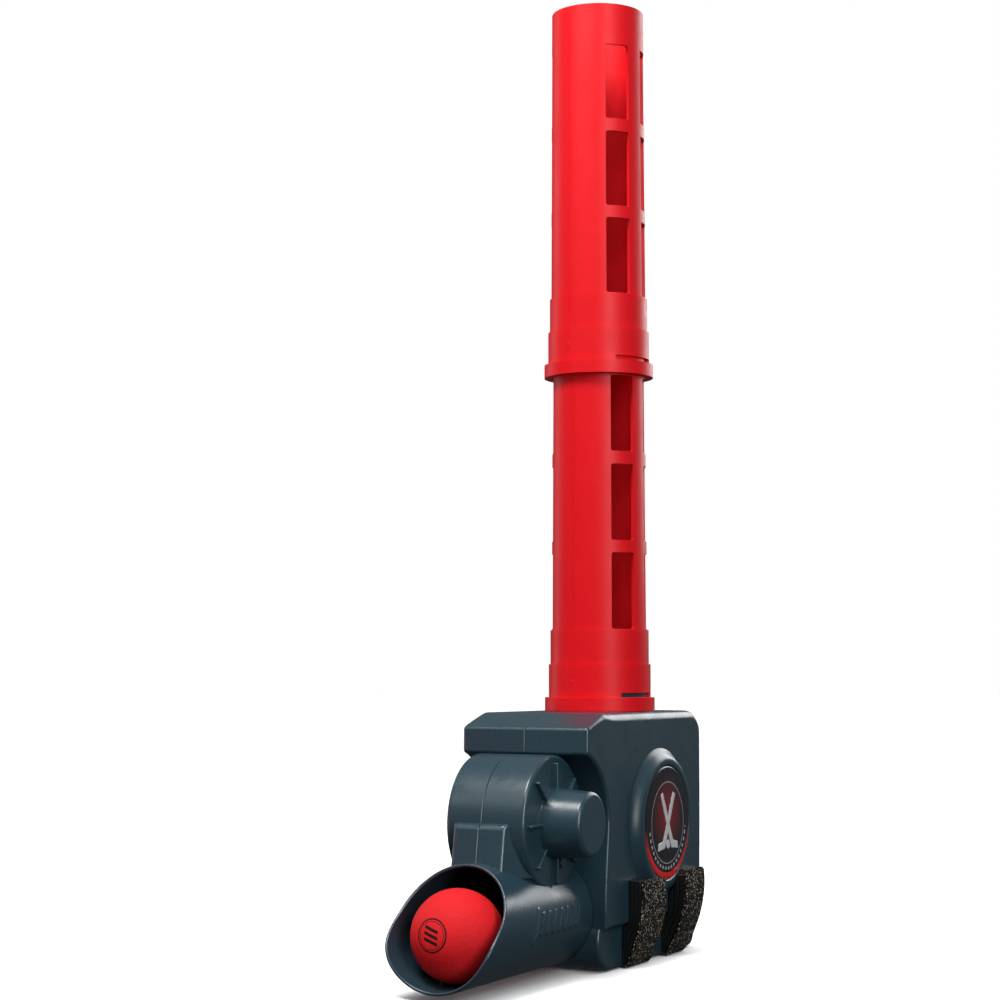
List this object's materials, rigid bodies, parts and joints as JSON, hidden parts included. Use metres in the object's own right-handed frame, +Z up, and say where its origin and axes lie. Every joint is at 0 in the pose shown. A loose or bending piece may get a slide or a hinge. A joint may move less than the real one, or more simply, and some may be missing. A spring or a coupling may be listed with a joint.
{
  "type": "mini hockey ball passer",
  "caption": "Battery powered floor-standing ball passer: drum-shaped wheel housing over a low slanted nozzle, boxy body, and stacked slotted red ball tubes.",
  "frame": {"origin": "on the floor, under the middle of the whole object", "axes": "+Z up along the ball tubes, -Y towards the nozzle where balls leave, +X to the side with the motor pod"},
  "size_m": [0.121, 0.307, 0.6533],
  "materials": {
    "slate_plastic": "moulded, satin",
    "red_plastic": "moulded, semi-gloss",
    "black_plastic": "moulded, satin",
    "white_plastic": "moulded, natural",
    "badge": "printed and laminated",
    "black_foam": "open-cell foam",
    "red_foam": "closed-cell foam, lightly pitted",
    "wheel_rubber": "matt",
    "steel": "plated",
    "bronze": "sintered",
    "circuit_board": "solder mask",
    "battery_wrap": "plain printed wrap"
  },
  "bodies": {
    "housing": {"body_shell_right": "slate_plastic", "body_shell_left": "slate_plastic", "head_shell_right": "slate_plastic", "head_shell_left": "slate_plastic", "neck_ring": "slate_plastic", "badge_disc_right": "badge", "badge_disc_left": "badge", "ball_chute": "black_plastic", "battery_tray": "black_plastic", "power_switch_base": "black_plastic", "idler_pin": "steel", "door_hinge_pin": "steel", "contact_strip_left": "steel", "contact_strip_right": "steel", "head_screw": "steel", "throw_motor": "steel", "feed_motor": "steel", "axle_bush": "bronze", "circuit_board": "circuit_board", "battery_cell_1": "battery_wrap", "battery_cell_2": "battery_wrap", "battery_cell_3": "battery_wrap", "battery_cell_4": "battery_wrap", "case_screw_1": "steel", "case_screw_2": "steel", "case_screw_3": "steel", "case_screw_4": "steel", "front_pad_right_backing": "black_plastic", "front_pad_right_foam": "black_foam", "front_pad_left_backing": "black_plastic", "front_pad_left_foam": "black_foam", "rear_pad_right_backing": "black_plastic", "rear_pad_right_foam": "black_foam", "rear_pad_left_backing": "black_plastic", "rear_pad_left_foam": "black_foam"},
    "lower_tube": {"tube_lower": "red_plastic"},
    "upper_tube": {"tube_upper": "red_plastic"},
    "throw_wheel": {"throw_wheel_hub": "white_plastic", "throw_wheel_tyre": "wheel_rubber", "throw_wheel_axle": "steel"},
    "feed_rotor": {"feed_rotor": "white_plastic", "feed_rotor_axle": "steel", "feed_gear": "white_plastic"},
    "idler": {"idler_gear": "white_plastic"},
    "pinion": {"feed_pinion": "white_plastic"},
    "battery_door": {"battery_door": "slate_plastic"},
    "power_switch": {"power_switch_knob": "black_plastic"},
    "ball": {"foam_ball": "red_foam"}
  },
  "joints": [
    {"name": "lower_tube_lift", "type": "slide", "parent": "housing", "child": "lower_tube", "axis": [0, 0, 1], "range_m": [0, 0.035]},
    {"name": "upper_tube_lift", "type": "slide", "parent": "lower_tube", "child": "upper_tube", "axis": [0, 0, 1], "range_m": [0, 0.035]},
    {"name": "throw_wheel_spin", "type": "hinge", "parent": "housing", "child": "throw_wheel", "pos_m": [0, -0.051, 0.0989], "axis": [-1, 0, 0], "continuous": true},
    {"name": "feed_rotor_spin", "type": "hinge", "parent": "housing", "child": "feed_rotor", "pos_m": [0, 0.034, 0.1], "axis": [-1, 0, 0], "continuous": true},
    {"name": "idler_spin", "type": "hinge", "parent": "housing", "child": "idler", "pos_m": [0.036, 0.01256, 0.13076], "axis": [-1, 0, 0], "continuous": true},
    {"name": "pinion_spin", "type": "hinge", "parent": "housing", "child": "pinion", "pos_m": [0.036, -0.004, 0.146], "axis": [-1, 0, 0], "continuous": true},
    {"name": "battery_door_hinge", "type": "hinge", "parent": "housing", "child": "battery_door", "pos_m": [0, 0.1509, 0.0226], "axis": [-1, 0, 0], "range_deg": [0, 85]},
    {"name": "power_switch_slide", "type": "slide", "parent": "housing", "child": "power_switch", "axis": [0, 1, 0], "range_m": [0, 0.007]},
    {"name": "ball_exit", "type": "slide", "parent": "housing", "child": "ball", "axis": [0, -1, 0], "range_m": [0, 0.1]}
  ],
  "couplings": [
    {"joint": "idler_spin", "follows": "feed_rotor_spin", "ratio": -1.2727},
    {"joint": "pinion_spin", "follows": "feed_rotor_spin", "ratio": 3.5}
  ]
}
